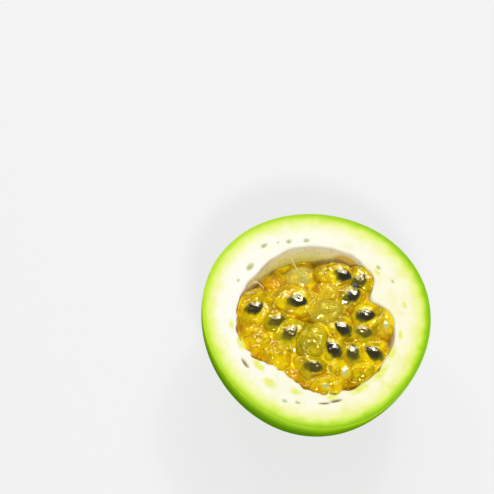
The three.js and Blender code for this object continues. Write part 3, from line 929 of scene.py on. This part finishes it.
def bead_tree(material):
    tree, source, output = new_tree("juice_beads", ["Gap", "Smallest", "Largest"])
    spread = add_node(tree, "GeometryNodeDistributePointsOnFaces", {"distribute_method": "POISSON"},
                      Mesh=source.outputs["Geometry"], Distance_Min=source.outputs["Gap"],
                      Density_Max=4.0e5, Seed=4)
    clear = add_node(tree, "GeometryNodeInputNamedAttribute", {"data_type": "FLOAT"}, Name="off_seeds")
    tree.links.new(clear.outputs["Attribute"], spread.inputs["Density Factor"])
    bead = add_node(tree, "GeometryNodeMeshIcoSphere", Radius=1.0, Subdivisions=2)
    size = add_node(tree, "FunctionNodeRandomValue", {"data_type": "FLOAT"}, Seed=9)
    tree.links.new(source.outputs["Smallest"], size.inputs[2])
    tree.links.new(source.outputs["Largest"], size.inputs[3])
    wide = size.outputs[1]
    shape = add_node(tree, "ShaderNodeCombineXYZ", X=wide, Y=maths(tree, "MULTIPLY", wide, 0.8),
                     Z=maths(tree, "MULTIPLY", wide, 0.5))
    copies = add_node(tree, "GeometryNodeInstanceOnPoints", Points=spread.outputs["Points"],
                      Instance=bead.outputs[0], Rotation=spread.outputs["Rotation"], Scale=shape.outputs[0])
    close_tree(tree, copies.outputs[0], material, output)
    return tree


def build_beads(material, surface):
    """Small beads of juice all over the pulp's upper side."""
    sides, rings = 120, 60
    turn = np.arange(sides) * 2 * math.pi / sides
    brim = HOLLOW_RADIUS - ridge_height(np.degrees(turn)) - BEAD_MARGIN
    points, faces = [(0, 0, float(read_grid(surface, np.zeros(1), np.zeros(1))[0]))], []
    for i in range(1, rings + 1):
        x, y = brim * np.cos(turn) * i / rings, brim * np.sin(turn) * i / rings
        points += list(zip(x, y, read_grid(surface, x, y)))
    for j in range(sides):
        k = (j + 1) % sides
        faces.append((0, 1 + j, 1 + k))
        for i in range(rings - 1):
            a, b = 1 + i * sides, 1 + (i + 1) * sides
            faces.append((a + j, b + j, b + k, a + k))
    obj = make_object("juice_beads", points, faces)
    x, y = np.array(points, float).T[:2]
    add_attribute(obj, "off_seeds", off_seeds(x, y))
    sizes = {"Gap": BEAD_GAP * MM, "Smallest": SMALLEST_BEAD * MM, "Largest": LARGEST_BEAD * MM}
    made = run_tree(obj, bead_tree(material), sizes)
    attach(made, BODY)


# ---- Seeds ----
SEED_TAPER = 0.42  # how much the pointed end is drawn in
PIT_SIZE, PIT_DEPTH = 0.75, 0.09  # millimetres, and a share of the seed's own size


def build_seed(node, materials):
    """A flat egg with a pointed end and fine pits, on the CAD seed's place and turn."""
    centre, axes, size = seed_frame(node)
    number = int(node[-2:])
    rings, sides = 28, 36
    polar = np.linspace(0, math.pi, rings + 1)[1:-1, None]
    round_ = np.linspace(0, 2 * math.pi, sides, endpoint=False)[None, :]
    x = np.cos(polar) * np.ones_like(round_)
    taper = 1 - SEED_TAPER * np.clip(x, 0, 1) ** 2
    y = np.sin(polar) ** 0.9 * np.cos(round_) * taper
    z = np.sin(polar) * np.sin(round_) * taper
    body = np.stack((x, y, z), 2).reshape(-1, 3)
    local = np.vstack((body, (1, 0, 0), (-1, 0, 0))) * size / 2
    pits = np.minimum(fuzz(*local.T, PIT_SIZE, number * 2.3), 0.1)
    local = local * (1 + PIT_DEPTH * pits[:, None])
    first, last, low = (rings - 1) * sides, (rings - 1) * sides + 1, (rings - 2) * sides
    faces = []
    for j in range(sides):
        k = (j + 1) % sides
        for i in range(rings - 2):
            faces.append((i * sides + j, (i + 1) * sides + j, (i + 1) * sides + k, i * sides + k))
        faces.append((first, j, k))
        faces.append((last, low + k, low + j))
    material = materials[1 if number in UNRIPE else 0]
    obj = make_object(node.replace("seed", "pip"), centre + local @ axes, faces, None, [material])
    face_out(obj.data)
    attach(obj, BODY)
    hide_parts(node)


# ---- Stalks ----
STALK_THINNING, STALK_UNEVEN = 0.19, 0.05


def build_stalk(node, material):
    obj = merged_copy(node, node.replace("stalk", "thread"))
    add_modifier(obj, "SUBSURF", levels=2, render_levels=2)
    apply_modifiers(obj)
    at = read_points(obj.data, "co") / MM
    thin = STALK_THINNING + STALK_UNEVEN * fuzz(*at.T, 1.2, 3.0)
    write_points(obj.data, (at - read_points(obj.data, "normal") * thin[:, None]) * MM)
    finish_mesh(obj.data, material)
    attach(obj, BODY)
    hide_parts(node)


# ---- Stage, light and camera ----
FLOOR_GLOW = 0.69  # the floor's own light, which leaves only faint shadows
ROOM_LIGHT = 0.15


def build_stage():
    side = 3.0
    corners = [(-side, -side, 0), (side, -side, 0), (side, side, 0), (-side, side, 0)]
    floor = make_object("floor", np.array(corners) / MM, [(0, 1, 2, 3)])
    material, _, shader = new_material("pale_floor")
    settle(shader, Base_Color=linear("7c7c7c"), Roughness=0.8, Specular_IOR_Level=0.1,
           Emission_Color=WHITE, Emission_Strength=FLOOR_GLOW)
    floor.data.materials.append(material)
    world = bpy.data.worlds.new("soft_room")
    world.use_nodes = True
    settle(world.node_tree.nodes["Background"], Color=WHITE, Strength=ROOM_LIGHT)
    bpy.context.scene.world = world


def add_light(name, place, size, radiance):
    """A soft box, size (wide, high) in metres, that faces the cut face's middle."""
    target = (0, 0, FACE_Z * MM)
    data = bpy.data.lights.new(name, "AREA")
    data.shape = "RECTANGLE"
    data.size, data.size_y = size
    data.energy = radiance * math.pi * size[0] * size[1]
    lamp = add_object(name, data)
    lamp.location = place
    lamp.rotation_mode = "QUATERNION"
    lamp.rotation_quaternion = (Vector(target) - Vector(place)).to_track_quat("-Z", "Y")


FACE_TILT = math.radians(23.1)  # between the cut face's normal and the line of sight
ROLL = math.radians(22.2)  # how far the picture leans clockwise
CAMERA_DISTANCE = 0.70
SENSOR = 36.0
RIM_SHARE = 0.2334  # the rim's radius, as a share of the picture's width
LENS = SENSOR * RIM_SHARE * CAMERA_DISTANCE / (RIM_RADIUS * MM)
# The face's middle from the picture's middle, right and up, as shares of the picture's width.
FACE_OFFSET = (0.139474, -0.146964)


def build_camera():
    data = bpy.data.cameras.new("camera")
    data.lens, data.sensor_width = LENS, SENSOR
    data.clip_start, data.clip_end = 0.01, 20
    camera = add_object("camera", data)
    back = Vector((0, -math.sin(FACE_TILT), math.cos(FACE_TILT)))
    right = Vector((1, 0, 0))
    up = back.cross(right)
    level = Matrix((right, up, back)).transposed().to_quaternion()
    lean = Quaternion((0, 0, 1), ROLL)
    sight = Vector((*FACE_OFFSET, -LENS / SENSOR)).normalized()
    aside = Vector((0, 0, -1)).rotation_difference(sight)
    camera.rotation_mode = "QUATERNION"
    camera.rotation_quaternion = level @ lean @ aside.inverted()
    camera.location = Vector((0, 0, FACE_Z * MM)) + back * CAMERA_DISTANCE
    bpy.context.scene.camera = camera


# ---- Build ----
build_camera()
build_stage()
add_light("main_box", (-0.08, 0.50, 0.66), (0.38, 0.28), 6.5)
add_light("glint", (-0.03, 0.46, 0.70), (0.08, 0.08), 50)
add_light("front_box", (0.16, -0.48, 0.75), (0.12, 0.12), 87)
add_light("left_box", (-0.42, 0.28, 0.55), (0.10, 0.10), 22)
bpy.context.scene.view_settings.view_transform = "Standard"

build_rind([skin_material(), flesh_material(), lining_material()])
sac_juice = sac_material()
sacs = [build_sac(node, sac_juice) for node in SACS]
level, crease, surface = juice_level(sacs)
build_bed(bed_material(), level, crease)
build_folds(fold_material(), surface)
build_beads(clear_juice_material(), surface)
ripe = seed_material("ripe_seed", "22221e", "46443c", 0.35)
unripe = seed_material("unripe_seed", "d8c068", "efe2a0", 0.4)
for seed in SEEDS:
    build_seed(seed, (ripe, unripe))
thread = stalk_material()
for stalk in STALKS:
    build_stalk(stalk, thread)
